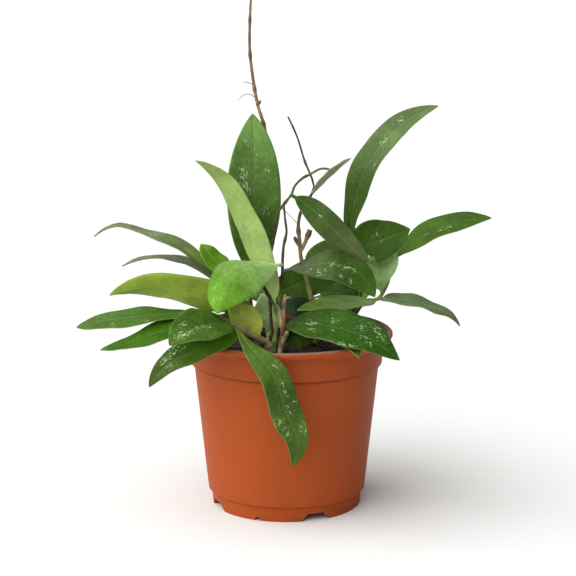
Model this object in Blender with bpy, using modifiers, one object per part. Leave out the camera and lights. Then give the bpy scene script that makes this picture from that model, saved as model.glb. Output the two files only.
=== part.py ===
"""A potted hoya: a nursery pot, its soil, the vines that stand in the soil, and the leaves on the vines.

Metres, +Z up. The origin is the middle of the pot's underside, and -Y is the front. Sizes below are in
millimetres and are scaled once, by MM. A vine or a leaf follows a smooth curve through a few points.
"""

import math
from collections import namedtuple

import bmesh
import bpy
import numpy as np

MM = 0.001

# The pot
POT_HEIGHT = 136.0
LIP_RADIUS = 82.0
LIP_HEIGHT = 4.8
LIP_DEPTH = 4.8
BAND_TOP_RADIUS = 74.5
BAND_FOOT_RADIUS = 73.9
BAND_FOOT = 112.5
WALL_TOP_RADIUS = 71.4
WALL_TOP = 110.6
WALL_FOOT_RADIUS = 61.0
WALL_FOOT = 12.6
SKIRT_RADIUS = 57.5
SKIRT_TOP = 10.6
WALL = 1.8
FLOOR_UNDERSIDE = 7.0
PAD_RADIUS = 16.0
TURNS = 48

# The drain notches in the foot, by turns of 45 degrees
NOTCH_PITCH = 45.0
FIRST_NOTCH = 22.5
WIDE_NOTCH = (25.0, 12.8, 5.6)
NARROW_NOTCH = (6.4, 1.8, 2.4)

# The soil
SOIL_TOP = 124.0
SOIL_TURNS = 24
SOIL_RINGS = (70.2, 58.0, 46.0, 34.0, 22.0, 10.0)
SOIL_SWELL = 1.6
SOIL_CLEAR = 0.45
CLEAR = 0.3
ROOT_DEPTH = 18.0

# The vines and leaves
VINE_STEP = 9.0
NODE_EVERY = 3
NODE_SWELL = 1.3
LEAF_THICKNESS = 1.3
PETIOLE_WIDTH = 2.6
PETIOLE_THICKNESS = 2.0
PETIOLE_LENGTH = 4.0
LEAF_ROWS = (0.0, 0.06, 0.15, 0.27, 0.40, 0.54, 0.68, 0.81, 0.92, 1.0)
LEAF_COLUMNS = 4
FULLNESS = 0.85
TIP_WIDTH = 0.8

UP = (0, 0, 1)

Vine = namedtuple("Vine", "line room")


def start_afresh():
    for old in list(bpy.data.objects):
        bpy.data.objects.remove(old)


def new_collection(name):
    collection = bpy.data.collections.new(name)
    bpy.context.scene.collection.children.link(collection)
    return collection


def new_material(name, colour, roughness):
    material = bpy.data.materials.new(name)
    material.use_nodes = True
    shader = material.node_tree.nodes["Principled BSDF"]
    shader.inputs["Base Color"].default_value = (*colour, 1)
    shader.inputs["Roughness"].default_value = roughness
    shader.inputs["Metallic"].default_value = 0
    material.diffuse_color = (*colour, 1)
    return material


def add_object(name, mesh, collection, material=None):
    obj = bpy.data.objects.new(name, mesh)
    collection.objects.link(obj)
    if material:
        mesh.materials.append(material)
    return obj


def hide_cutter(obj):
    obj.hide_render = True
    obj.display_type = "WIRE"


def cut(obj, cutter):
    boolean = obj.modifiers.new(f"cut by {cutter.name}", "BOOLEAN")
    boolean.operation = "DIFFERENCE"
    boolean.object = cutter


def join(obj, other):
    boolean = obj.modifiers.new(f"join {other.name}", "BOOLEAN")
    boolean.operation = "UNION"
    boolean.object = other


def smooth_curve(knots, fractions):
    """Points at these fractions of the length of a smooth curve through the knots, and that length."""
    knots = np.array(knots, float)
    chord = np.concatenate(([0], np.cumsum(np.linalg.norm(np.diff(knots, axis=0), axis=1))))
    slope = np.gradient(knots, chord, axis=0, edge_order=2)
    fine = np.linspace(0, chord[-1], 241)
    span = np.clip(np.searchsorted(chord, fine, side="right") - 1, 0, len(knots) - 2)
    reach = (chord[span + 1] - chord[span])[:, None]
    t = (fine - chord[span])[:, None] / reach
    points = (
        (2 * t**3 - 3 * t**2 + 1) * knots[span]
        + (t**3 - 2 * t**2 + t) * reach * slope[span]
        + (3 * t**2 - 2 * t**3) * knots[span + 1]
        + (t**3 - t**2) * reach * slope[span + 1]
    )
    run = np.concatenate(([0], np.cumsum(np.linalg.norm(np.diff(points, axis=0), axis=1))))
    wanted = np.array(fractions) * run[-1]
    return np.stack([np.interp(wanted, run, points[:, axis]) for axis in range(3)], axis=1), run[-1]


def length_of(knots):
    return smooth_curve(knots, [0, 1])[1]


def turned(name, profile, turns, collection, material):
    """A solid turned about the Z axis from a profile of (radius, height) that runs down its outer side."""
    shape = bmesh.new()
    points = [shape.verts.new((radius * MM, 0, height * MM)) for radius, height in profile]
    for upper, lower in zip(points, points[1:]):
        shape.edges.new((upper, lower))
    mesh = bpy.data.meshes.new(name)
    shape.to_mesh(mesh)
    shape.free()
    obj = add_object(name, mesh, collection, material)
    screw = obj.modifiers.new("turn", "SCREW")
    screw.steps = screw.render_steps = turns
    screw.use_merge_vertices = True
    screw.merge_threshold = 0.00001
    screw.use_smooth_shade = True
    return obj


def make_pot(collection, cutters, material):
    inner_lip = LIP_RADIUS - LIP_DEPTH
    lip_foot = POT_HEIGHT - LIP_HEIGHT
    profile = [
        (inner_lip + 0.9, POT_HEIGHT),
        (LIP_RADIUS - 1.1, POT_HEIGHT),
        (LIP_RADIUS, POT_HEIGHT - 1.1),
        (LIP_RADIUS, lip_foot + 2.0),
        (LIP_RADIUS - 1.0, lip_foot + 0.4),
        (LIP_RADIUS - 3.5, lip_foot - 1.2),
        (BAND_TOP_RADIUS + 1.1, lip_foot - 2.2),
        (BAND_TOP_RADIUS, lip_foot - 4.0),
        (BAND_FOOT_RADIUS, BAND_FOOT),
        (BAND_FOOT_RADIUS - 0.8, BAND_FOOT - 1.3),
        (WALL_TOP_RADIUS, WALL_TOP),
        (WALL_FOOT_RADIUS, WALL_FOOT),
        (SKIRT_RADIUS + 1.0, SKIRT_TOP),
        (SKIRT_RADIUS, 0),
        (SKIRT_RADIUS - WALL, 0),
        (SKIRT_RADIUS - WALL, FLOOR_UNDERSIDE),
        (PAD_RADIUS + 2, FLOOR_UNDERSIDE),
        (PAD_RADIUS, 0),
        (0, 0),
        (0, WALL),
        (PAD_RADIUS - 1.6, WALL),
        (PAD_RADIUS + 0.4, FLOOR_UNDERSIDE + WALL),
        (SKIRT_RADIUS - WALL + 0.8, FLOOR_UNDERSIDE + WALL),
        (SKIRT_RADIUS - WALL + 1.1, SKIRT_TOP + 1.0),
        (WALL_FOOT_RADIUS - WALL, WALL_FOOT + 1.0),
        (WALL_TOP_RADIUS - WALL, WALL_TOP + 0.8),
        (BAND_FOOT_RADIUS - WALL, BAND_FOOT + 2.2),
        (BAND_TOP_RADIUS - WALL, lip_foot - 1.8),
        (inner_lip, POT_HEIGHT - 1.4),
        (inner_lip + 0.9, POT_HEIGHT),
    ]
    pot = turned("pot", profile, TURNS, collection, material)
    for number in range(8):
        notch = make_notch(f"notch_{number}", NARROW_NOTCH if number % 2 else WIDE_NOTCH, cutters)
        notch.rotation_euler.z = math.radians(FIRST_NOTCH + number * NOTCH_PITCH)
        cut(pot, notch)


def make_notch(name, size, cutters):
    """A wedge across the front of the skirt: size is its widths at foot and top, and its height."""
    foot_width, top_width, height = size
    below, outside, inside = 1.0, SKIRT_RADIUS + 6, SKIRT_RADIUS - 8
    shape = bmesh.new()
    bmesh.ops.create_cube(shape, size=1)
    for corner in shape.verts:
        top = corner.co.z > 0
        width = top_width if top else foot_width
        corner.co.x *= width * MM
        corner.co.y = -(outside if corner.co.y < 0 else inside) * MM
        corner.co.z = (height if top else -below) * MM
    mesh = bpy.data.meshes.new(name)
    shape.to_mesh(mesh)
    shape.free()
    notch = add_object(name, mesh, cutters)
    hide_cutter(notch)
    return notch


def soil_height(x, y):
    """The uneven top of the soil, in millimetres."""
    return SOIL_SWELL * (math.sin(x / 9 + 1.0) * math.cos(y / 11) + 0.6 * math.sin((x - y) / 6))


def make_soil(collection, vines, material):
    """The plug of soil, as wide as the pot's inside less the clearance, with plain holes for the vines."""
    floor = FLOOR_UNDERSIDE + WALL + SOIL_CLEAR
    wall_foot = WALL_FOOT_RADIUS - WALL - SOIL_CLEAR
    profile = [
        (SOIL_RINGS[0], SOIL_TOP),
        (BAND_FOOT_RADIUS - WALL - SOIL_CLEAR, BAND_FOOT + 3.0),
        (WALL_TOP_RADIUS - WALL - SOIL_CLEAR, WALL_TOP + 1.0),
        (wall_foot, WALL_FOOT + 1.4),
        (SKIRT_RADIUS - WALL + 0.6 - SOIL_CLEAR, SKIRT_TOP + 1.2),
        (SKIRT_RADIUS - WALL + 0.4 - SOIL_CLEAR, floor),
        (0, floor),
    ]
    rings = [(0, SOIL_TOP)] + [(radius, SOIL_TOP) for radius in reversed(SOIL_RINGS[1:])]
    soil = turned("soil", rings + profile, SOIL_TURNS, collection, material)
    as_mesh(soil)
    for point in soil.data.vertices:
        edge = math.hypot(point.co.x, point.co.y) > (SOIL_RINGS[0] - 1) * MM
        if point.co.z > (SOIL_TOP - 1) * MM and not edge:
            point.co.z += soil_height(point.co.x / MM, point.co.y / MM) * MM
    for vine in vines:
        cut(soil, vine.room)


def as_mesh(obj):
    """Turns an object's modifiers into its mesh, welded."""
    graph = bpy.context.evaluated_depsgraph_get()
    mesh = bpy.data.meshes.new_from_object(obj.evaluated_get(graph))
    weld(mesh)
    obj.modifiers.clear()
    obj.data = mesh


def weld(mesh):
    shape = bmesh.new()
    shape.from_mesh(mesh)
    bmesh.ops.remove_doubles(shape, verts=shape.verts, dist=0.00001)
    bmesh.ops.recalc_face_normals(shape, faces=shape.faces)
    shape.to_mesh(mesh)
    shape.free()


def vine_tube(name, points, radii, collection, material=None):
    """A round tube through the points, made a mesh, with a radius at each point."""
    curve = bpy.data.curves.new(name, "CURVE")
    curve.dimensions = "3D"
    curve.bevel_depth = MM
    curve.bevel_resolution = 2
    curve.use_fill_caps = True
    path = curve.splines.new("POLY")
    path.points.add(len(points) - 1)
    for point, place, radius in zip(path.points, points, radii):
        point.co = (*(place * MM), 1)
        point.radius = radius
    tube = bpy.data.objects.new(name + "_curve", curve)
    collection.objects.link(tube)
    mesh = bpy.data.meshes.new_from_object(tube.evaluated_get(bpy.context.evaluated_depsgraph_get()))
    bpy.data.objects.remove(tube)
    weld(mesh)
    return add_object(name, mesh, collection, material)


def vine_path(knots, radius, tip_radius, taper=2.0, step=VINE_STEP):
    """Points along a vine and the radius at each. It narrows to its tip and swells at every third point."""
    count = max(4, round(length_of(knots) / step))
    fractions = np.linspace(0, 1, count + 1)
    points, _ = smooth_curve(knots, fractions)
    radii = radius + (tip_radius - radius) * fractions**taper
    radii[NODE_EVERY:-1:NODE_EVERY] *= NODE_SWELL
    return points, radii


def reach_on(points):
    """The same points with both ends moved outwards by the clearance."""
    ends = np.array(points)
    for end, inner in ((0, 1), (-1, -2)):
        outwards = ends[end] - ends[inner]
        ends[end] += outwards / np.linalg.norm(outwards) * CLEAR
    return ends


def make_vine(
    name, knots, radius, collection, cutters, material, tip_radius, taper=2.0, on=(), limbs=(),
):
    """A vine that stands in the soil and follows its knots. Its limbs are shoots fused to it.

    A taper below 1 narrows it most near its foot, one above 1 most near its tip.
    Gives back the vine's centre line and the room that it takes with its clearance, which cuts what meets it.
    """
    x, y, _ = knots[0]
    knots = [(x, y, SOIL_TOP - ROOT_DEPTH)] + list(knots)
    points, radii = vine_path(knots, radius, tip_radius, taper)
    vine = vine_tube(name, points, radii, collection, material)
    room = vine_tube(name + "_room", reach_on(points), radii + CLEAR, cutters)
    hide_cutter(room)
    for number, (limb_knots, limb_radius, limb_tip) in enumerate(limbs):
        limb_points, limb_radii = vine_path(limb_knots, limb_radius, limb_tip)
        limb = vine_tube(f"{name}_limb_{number}", limb_points, limb_radii, cutters)
        hide_cutter(limb)
        join(vine, limb)
        wider = limb_radii + CLEAR
        limb_room = vine_tube(f"{name}_limb_{number}_room", reach_on(limb_points), wider, cutters)
        hide_cutter(limb_room)
        join(room, limb_room)
    for other in on:
        cut(vine, other.room)
    line, _ = smooth_curve(knots, np.linspace(0, 1, round(length_of(knots) * 2)))
    return Vine(line, room)


def leaf_frame(knots, faces, fractions):
    """The leaf's midrib at these fractions, with the directions along it, out of its face and to its side."""
    midrib, _ = smooth_curve(knots, fractions)
    along = np.gradient(midrib, fractions, axis=0)
    along /= np.linalg.norm(along, axis=1)[:, None]
    places = np.linspace(0, 1, len(faces))
    faces = np.array(faces, float)
    face = np.stack([np.interp(fractions, places, faces[:, axis]) for axis in range(3)], axis=1)
    face -= (face * along).sum(axis=1)[:, None] * along
    face /= np.linalg.norm(face, axis=1)[:, None]
    return midrib, face, np.cross(face, along)


def make_leaf(name, vine, knots, width, collection, material, faces=(UP,), cup=8.0, wave=0.8, fullest=0.44):
    """A leaf: a petiole that starts on its vine, and a blade about a midrib, cupped and waved at its edge.

    faces are directions that the upper side looks in, from foot to tip. A cup, in degrees, below 0 arches it.
    """
    nearest = np.linalg.norm(vine.line - np.array(knots[0]), axis=1).argmin()
    knots = [vine.line[nearest]] + list(knots[1:])
    foot = PETIOLE_LENGTH / length_of(knots)
    rows = np.array(LEAF_ROWS)
    fractions = np.concatenate(([0.0], foot + (1 - foot) * rows))
    blade = np.concatenate(([0.0], rows))
    midrib, face, side = leaf_frame(knots, faces, fractions)
    rise = fullest / (1 - fullest)
    outline = ((blade / fullest) ** rise * (1 - blade) / (1 - fullest)) ** FULLNESS
    least = np.interp(blade, [0, 0.9, 1], [PETIOLE_WIDTH / 2, TIP_WIDTH, TIP_WIDTH / 2])
    half = np.maximum(width / 2 * outline, least)
    swell = np.sqrt(np.sin(np.pi * blade))
    shape = bmesh.new()
    bmesh.ops.create_grid(shape, x_segments=LEAF_COLUMNS, y_segments=len(fractions) - 1, size=1)
    thick = shape.verts.layers.deform.verify()
    for point in shape.verts:
        across = point.co.x
        row = round((point.co.y + 1) / 2 * (len(fractions) - 1))
        turn = 2.5 * 2 * math.pi * blade[row] + (1.9 if across > 0 else 0)
        ripple = wave * swell[row] * across**2 * math.sin(turn)
        lift = half[row] * abs(across) ** 1.4 * math.sin(math.radians(cup)) + ripple
        reach = half[row] * across * math.cos(math.radians(cup))
        point.co = (midrib[row] + side[row] * reach + face[row] * lift) * MM
        point[thick][0] = 1.0 if row < 2 else LEAF_THICKNESS / PETIOLE_THICKNESS
    bmesh.ops.triangulate(shape, faces=shape.faces)
    mesh = bpy.data.meshes.new(name)
    shape.to_mesh(mesh)
    shape.free()
    leaf = add_object(name, mesh, collection, material)
    leaf.vertex_groups.new(name="thickness")
    solid = leaf.modifiers.new("thickness", "SOLIDIFY")
    solid.thickness = PETIOLE_THICKNESS * MM
    solid.offset = 0
    solid.vertex_group = "thickness"
    cut(leaf, vine.room)
    mesh.shade_smooth()


def main():
    start_afresh()
    plant = new_collection("potted_hoya")
    cutters = new_collection("cutters")
    pot_plastic = new_material("pot plastic", (0.52, 0.14, 0.05), 0.55)
    peat = new_material("peat", (0.035, 0.022, 0.014), 0.95)
    bark = new_material("vine", (0.16, 0.13, 0.06), 0.6)
    green = new_material("leaf", (0.08, 0.22, 0.04), 0.35)
    pale = new_material("leaf underside", (0.34, 0.48, 0.14), 0.45)
    young = new_material("young leaf", (0.20, 0.46, 0.06), 0.35)

    make_pot(plant, cutters, pot_plastic)

    def vine(name, radius, *knots, **more):
        return make_vine(name, knots, radius, plant, cutters, bark, **more)

    whip = vine(
        "vine_whip", 1.7, (-14, 15, 126), (-16, 20, 164), (-16, 22, 203), (-14, 24, 234), (-15, 26, 265),
        (-17, 26, 290), (-22, 26, 307), (-26, 25, 330), (-28, 25, 349), (-28, 25, 368), (-27, 25, 387),
        (-24, 25, 408), tip_radius=0.8,
        limbs=(([(-23, 26, 308), (-21, 23, 309), (-20, 21, 311)], 0.9, 0.6),),
    )
    arch = vine(
        "vine_arch", 1.2, (-10, -10, 126), (-12, -10, 150), (-13, -6, 172), (-13, -1, 189), (-10, 1, 206),
        (-6, -2, 229), (-1, -4, 236), (4, -5, 243), (6, -3, 248), (12, 0, 254), (19, 5, 257), (25, 8, 260),
        (30, 12, 260), (36, 16, 257), tip_radius=0.8,
    )
    front = vine(
        "vine_front", 2.3, (-5, -30, 126), (-4, -28, 132), (-3, -24, 141), (-4, -18, 149), (-4, -15, 156),
        (-5, -15, 165), (-5, -17, 174), (-3, -20, 182), (-3, -21, 190), (-2, -19, 206), (0, -15, 215),
        (-1, -10, 224), (-2, -6, 234), tip_radius=0.8, taper=0.6, on=(arch,),
        limbs=(
            ([(-3, -26, 138), (-2, -28, 147), (-2, -29, 159), (-1, -30, 170)], 1.5, 1.1),
            ([(-1, -30, 166), (1, -31, 168), (4, -31, 167)], 0.7, 0.6),
            ([(-4, -28, 130), (-2, -29, 135), (0, -30, 139), (1, -30, 142)], 1.9, 1.4),
        ),
    )
    runner = vine(
        "vine_runner", 2.1, (-9, -23, 126), (-9, -24, 133), (-8, -25, 142), (-8, -26, 151), (-9, -27, 161),
        (-12, -28, 166), (-16, -29, 173), (-21, -28, 180), tip_radius=0.8, taper=1.0,
    )
    left = vine(
        "vine_left", 3.0, (-13, -34, 126), (-14, -37, 133), (-19, -42, 138), (-29, -50, 145), (-39, -56, 152),
        (-45, -58, 156), (-53, -60, 160), tip_radius=1.8, taper=1.0,
    )
    middle = vine(
        "vine_middle", 1.8, (-19, -8, 126), (-20, -8, 137), (-24, -8, 150), (-28, -7, 159), (-27, -5, 169),
        (-27, -2, 177), tip_radius=1.5,
    )
    fork = vine(
        "vine_fork", 1.9, (23, 5, 129), (19, 0, 160), (14, -4, 182), (11, -5, 194), (10, -5, 207),
        (9, -3, 216), (10, 0, 225), (13, 2, 233), (19, 4, 241), (21, 6, 246), tip_radius=1.0,
        limbs=(
            ([(11, -5, 199), (14, -5, 205), (16, -5, 210), (18, -4, 215)], 1.4, 1.9),
            ([(11, -5, 201), (8, -6, 206), (6, -6, 210)], 1.4, 1.1),
            ([(18, 4, 240), (21, 6, 245), (20, 6, 251), (14, 7, 266), (8, 8, 285), (1, 10, 300)], 0.8, 0.6),
        ),
    )
    right = vine(
        "vine_right", 1.7, (46, 36, 127), (53, 36, 139), (63, 36, 151), (72, 37, 153), (78, 43, 160),
        (82, 53, 172), (83, 57, 181), tip_radius=1.4,
    )
    tall = vine(
        "vine_tall", 1.8, (41, 30, 128), (50, 30, 142), (57, 30, 154), (59, 28, 170), (57, 26, 185),
        (51, 22, 204), tip_radius=1.5,
    )
    make_soil(plant, (whip, arch, front, runner, left, middle, fork, right, tall), peat)

    def leaf(name, on, width, *knots, colour=green, **more):
        make_leaf(name, on, knots, width, plant, colour, **more)

    leaf("leaf_back_broad", whip, 42, (-16, 18, 164), (-23, 13, 187), (-25, 12, 236), (-25, 15, 274),
         (-26, 24, 301), faces=((0, -1, 0.1),), fullest=0.54)
    leaf("leaf_pale_tall", runner, 24, (-9, -27, 162), (-9, -24, 168), (-12, -21, 178), (-19, -17, 194),
         (-30, -12, 220), (-48, -12, 254), (-68, -18, 270), faces=((0.6, 1, 0.2),), cup=10, fullest=0.42,
         colour=pale)
    leaf("leaf_young", front, 44, (-3, -21, 191), (-18, -36, 193), (-30, -47, 193), (-39, -55, 189),
         (-47, -61, 177), (-51, -66, 163), faces=((0, -0.6, 0.8), (-0.3, -0.8, 0.5)), cup=-22, wave=1.2,
         fullest=0.56, colour=young)
    leaf("leaf_left_curled", middle, 20, (-28, -2, 177), (-40, 1, 178), (-53, 4, 187), (-66, 9, 202),
         faces=((0, -0.4, 0.9),), cup=10, wave=1.4, fullest=0.62)
    leaf("leaf_left_top", middle, 22, (-26, -2, 169), (-57, 13, 180), (-86, 21, 199), (-109, 26, 207),
         (-136, 31, 212), (-151, 34, 204), faces=((0, -0.2, 1), UP), cup=10)
    leaf("leaf_left_narrow", middle, 18, (-24, -5, 162), (-56, -8, 178), (-79, -8, 191), (-100, -6, 194),
         (-126, -2, 187), faces=((0, -0.15, 1), UP), cup=10)
    leaf("leaf_left_olive", middle, 36, (-23, -10, 155), (-39, -20, 158), (-65, -32, 169), (-98, -42, 178),
         (-132, -40, 172), faces=((0, 0.74, 0.67),), cup=10, fullest=0.42, colour=pale)
    leaf("leaf_left_long", left, 28, (-52, -60, 160), (-71, -53, 160), (-102, -48, 157), (-128, -42, 153),
         (-158, -35, 146), faces=((0, -0.33, 0.94),), cup=4, fullest=0.64)
    leaf("leaf_left_low", left, 28, (-49, -59, 157), (-67, -63, 153), (-93, -64, 148), (-117, -66, 140),
         (-137, -66, 136), faces=((0, -0.33, 0.94),), cup=6, fullest=0.36)
    leaf("leaf_left_near", left, 35, (-42, -57, 154), (-57, -78, 157), (-71, -90, 155), (-84, -100, 147),
         faces=((0, -0.6, 0.8),), cup=10)
    leaf("leaf_left_drooping", left, 25, (-32, -52, 147), (-52, -70, 143), (-69, -82, 138), (-83, -88, 132),
         (-100, -88, 113), faces=((0, -0.6, 0.8),), cup=10)
    leaf("leaf_front_hanging", left, 24, (-39, -56, 152), (-28, -79, 142), (-10, -90, 122), (0, -90, 93),
         (8, -86, 70), (4, -82, 51), faces=((0.3, -0.6, 0.75), (0.3, -0.9, 0.2), (0.2, -1, 0)), wave=2.0,
         fullest=0.58)
    leaf("leaf_front_right", front, 37, (-4, -26, 146), (8, -32, 148), (24, -42, 149), (45, -59, 148),
         (63, -68, 143), (74, -72, 136), (83, -74, 130), faces=((0, -0.55, 0.83),), fullest=0.46)
    leaf("leaf_right_inner", right, 26, (69, 37, 152), (60, 18, 155), (42, 3, 156), (24, -13, 157),
         (8, -24, 157), faces=((0.1, -0.2, 1),), cup=6, wave=0.4, fullest=0.48)
    leaf("leaf_right_low", right, 26, (72, 37, 153), (93, 30, 153), (117, 25, 147), (129, 22, 142),
         (136, 20, 135), faces=((0, -0.15, 1),), fullest=0.3)
    leaf("leaf_right_arched", right, 34, (76, 40, 157), (73, 31, 171), (73, 35, 183), (66, 52, 184),
         (59, 66, 178), faces=((0, -1, 0.2), UP), wave=0.4, fullest=0.58)
    leaf("leaf_right_long", right, 29, (83, 57, 180), (93, 54, 189), (114, 52, 204), (137, 50, 212),
         (162, 50, 216), faces=((0.1, -0.4, 0.93),), wave=0.3, fullest=0.52)
    leaf("leaf_right_tall", tall, 28, (53, 24, 198), (50, 23, 213), (54, 23, 235), (61, 26, 257),
         (71, 29, 273), (88, 32, 291), (117, 34, 306), faces=((-0.7, -0.65, 0.3),), cup=10, fullest=0.48)
    leaf("leaf_right_dark", tall, 36, (57, 26, 186), (58, 30, 193), (66, 33, 198), (81, 36, 203),
         (97, 38, 209), faces=((-0.2, -0.85, 0.4),), cup=6, fullest=0.36)
    leaf("leaf_middle_rear", fork, 22, (11, -4, 190), (27, 4, 194), (45, 10, 195), (63, 12, 192),
         faces=((0, -0.8, 0.5),))
    leaf("leaf_middle", front, 29, (-3, -21, 186), (16, -25, 191), (35, -28, 193), (52, -26, 187),
         (67, -20, 166), faces=((0.1, -0.7, 0.68),), cup=-8, fullest=0.55)
    leaf("leaf_upper_middle", arch, 20, (3, -5, 242), (17, -10, 234), (30, -14, 222), (45, -12, 207),
         (64, -8, 190), faces=((-0.4, -0.75, 0.5),), cup=6, fullest=0.42)
    leaf("leaf_upper_slim", fork, 12, (20, 4, 241), (27, 5, 250), (38, 8, 260), (49, 12, 268),
         faces=((-0.5, 0.5, 0.7),), cup=10, wave=0.3, fullest=0.36)
    leaf("leaf_inner_left", tall, 29, (56, 27, 168), (38, 22, 178), (15, 13, 173), (0, 8, 167), (-17, 4, 164),
         faces=((0, -0.9, 0.4),), fullest=0.58)
    leaf("leaf_inner_right", right, 24, (60, 36, 149), (47, 40, 155), (36, 44, 157), (26, 46, 156),
         faces=((0, -0.7, 0.7),))
    leaf("leaf_inner_low", tall, 20, (45, 30, 133), (29, 17, 142), (17, 6, 149), (9, -4, 154), (3, -15, 158),
         (-4, -22, 161), (-8, -24, 163), faces=((0, -0.95, 0.3),), fullest=0.5)
    leaf("leaf_heart_bright", whip, 26, (-14, 15, 128), (-12, 11, 138), (-14, 11, 150), (-20, 11, 162),
         faces=((0, -1, 0.15),), cup=12, fullest=0.55, colour=young)
    leaf("leaf_heart_olive", left, 22, (-19, -42, 138), (-25, -45, 149), (-34, -46, 158), (-43, -44, 165),
         faces=((0.2, -1, 0.3),), cup=12, fullest=0.5, colour=pale)
    leaf("leaf_under_right", fork, 20, (22, 4, 134), (38, -35, 137), (48, -65, 138), (53, -84, 134),
         faces=((0, -0.3, 0.95),))
    leaf("leaf_base_small", front, 20, (-3, -27, 132), (5, -25, 136), (13, -26, 137), (22, -27, 135),
         faces=((0, -1, 0.25),))
    leaf("leaf_rear_left", whip, 30, (-15, 19, 152), (-25, 60, 154), (-37, 95, 147), (-46, 122, 125),
         faces=((-0.2, 0, 1),))
    leaf("leaf_rear_right", tall, 30, (58, 30, 161), (60, 68, 163), (61, 102, 150), (60, 126, 128),
         faces=((0.1, 0, 1),))
    leaf("leaf_rear_middle", right, 28, (53, 36, 139), (39, 62, 147), (18, 90, 142), (3, 112, 120))
    leaf("leaf_rear_low", whip, 24, (-14, 16, 133), (-26, 24, 136), (-40, 30, 138), (-53, 32, 138),
         faces=((0, -0.9, 0.4),))
    leaf("leaf_rear_upright", whip, 26, (-14, 23, 209), (-19, 40, 232), (-25, 50, 262), (-28, 52, 279),
         faces=((0.2, -0.7, 0.7),))
    leaf("leaf_rear_high", tall, 26, (58, 28, 176), (64, 60, 174), (76, 92, 167), (81, 118, 150),
         faces=((0.1, 0, 1),))


main()
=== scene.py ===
import math
import random

import bmesh
import bpy
import numpy as np
from mathutils import Matrix, Vector, noise


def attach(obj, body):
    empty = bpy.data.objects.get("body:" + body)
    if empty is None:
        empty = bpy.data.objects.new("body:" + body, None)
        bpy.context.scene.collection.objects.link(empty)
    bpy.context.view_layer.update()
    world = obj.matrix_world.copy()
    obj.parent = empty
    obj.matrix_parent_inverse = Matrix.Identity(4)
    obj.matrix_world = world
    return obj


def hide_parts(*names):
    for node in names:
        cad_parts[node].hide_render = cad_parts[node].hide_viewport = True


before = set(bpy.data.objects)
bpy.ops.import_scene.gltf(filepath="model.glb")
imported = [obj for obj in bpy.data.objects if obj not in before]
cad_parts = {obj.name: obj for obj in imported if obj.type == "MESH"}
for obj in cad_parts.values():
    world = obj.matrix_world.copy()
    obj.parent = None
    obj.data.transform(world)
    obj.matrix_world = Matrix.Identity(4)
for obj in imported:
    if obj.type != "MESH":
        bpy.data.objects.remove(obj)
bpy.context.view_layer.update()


# The pot
# A round nursery pot, moulded in one piece from terracotta-coloured plastic. Its lip turns outwards, its
# wall steps in under a band at the top and again at the foot, and drain notches are cut through the foot.

MM = 0.001
LIP_RADIUS = 82.0
LIP_TOP = 136.0
LIP_FOOT = 131.2
SOIL_LEVEL = 124.0
INNER_LIP_RADIUS = 77.2
BAND_TOP_RADIUS = 74.5
BAND_FOOT_RADIUS = 73.9
BAND_FOOT = 112.5
WALL_TOP_RADIUS = 71.4
WALL_TOP = 110.6
WALL_FOOT_RADIUS = 61.0
WALL_FOOT = 12.6
SKIRT_RADIUS = 57.5
SKIRT_TOP = 10.6
WALL = 1.8
FLOOR_UNDERSIDE = 7.0
PAD_RADIUS = 16.0
POT_TURNS = 160
NOTCH_COUNT = 8
FIRST_NOTCH = 22.5
WIDE_NOTCH = (25.0, 12.8, 5.6)
NARROW_NOTCH = (6.4, 1.8, 2.4)
WEDGE_OUTSIDE = 6.0
WEDGE_INSIDE = 8.0
EDGE_ROUND = 0.5

CLAY = (0.300, 0.054, 0.009)
LIGHT_CLAY = (0.325, 0.061, 0.011)
PALE_STREAK = (0.44, 0.12, 0.05)
# Painted shade: the dark colour in the groove under the band.
GROOVE_PAINTED_SHADE = (0.120, 0.020, 0.008)
# Painted shade: the darker colour of the pot's inside wall, which stands in for the shade there.
INSIDE_PAINTED_SHADE = (0.080, 0.042, 0.030)
LIP_DUST = (0.175, 0.125, 0.098)
FOOT_GRIME = (0.10, 0.040, 0.022)


class Wire:
    """One output of a material's node. Arithmetic on wires and numbers adds the nodes that do it."""

    def __init__(self, finish, socket):
        self.finish = finish
        self.socket = socket

    def maths(self, operation, *values):
        return self.finish.node("ShaderNodeMath", {"operation": operation}, dict(enumerate(values)))

    def __add__(self, other):
        return self.maths("ADD", self, other)

    def __sub__(self, other):
        return self.maths("SUBTRACT", self, other)

    def __rsub__(self, other):
        return self.maths("SUBTRACT", other, self)

    def __mul__(self, other):
        return self.maths("MULTIPLY", self, other)

    def __abs__(self):
        return self.maths("ABSOLUTE", self)

    def sine(self):
        return self.maths("SINE", self)

    __radd__ = __add__
    __rmul__ = __mul__


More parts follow.
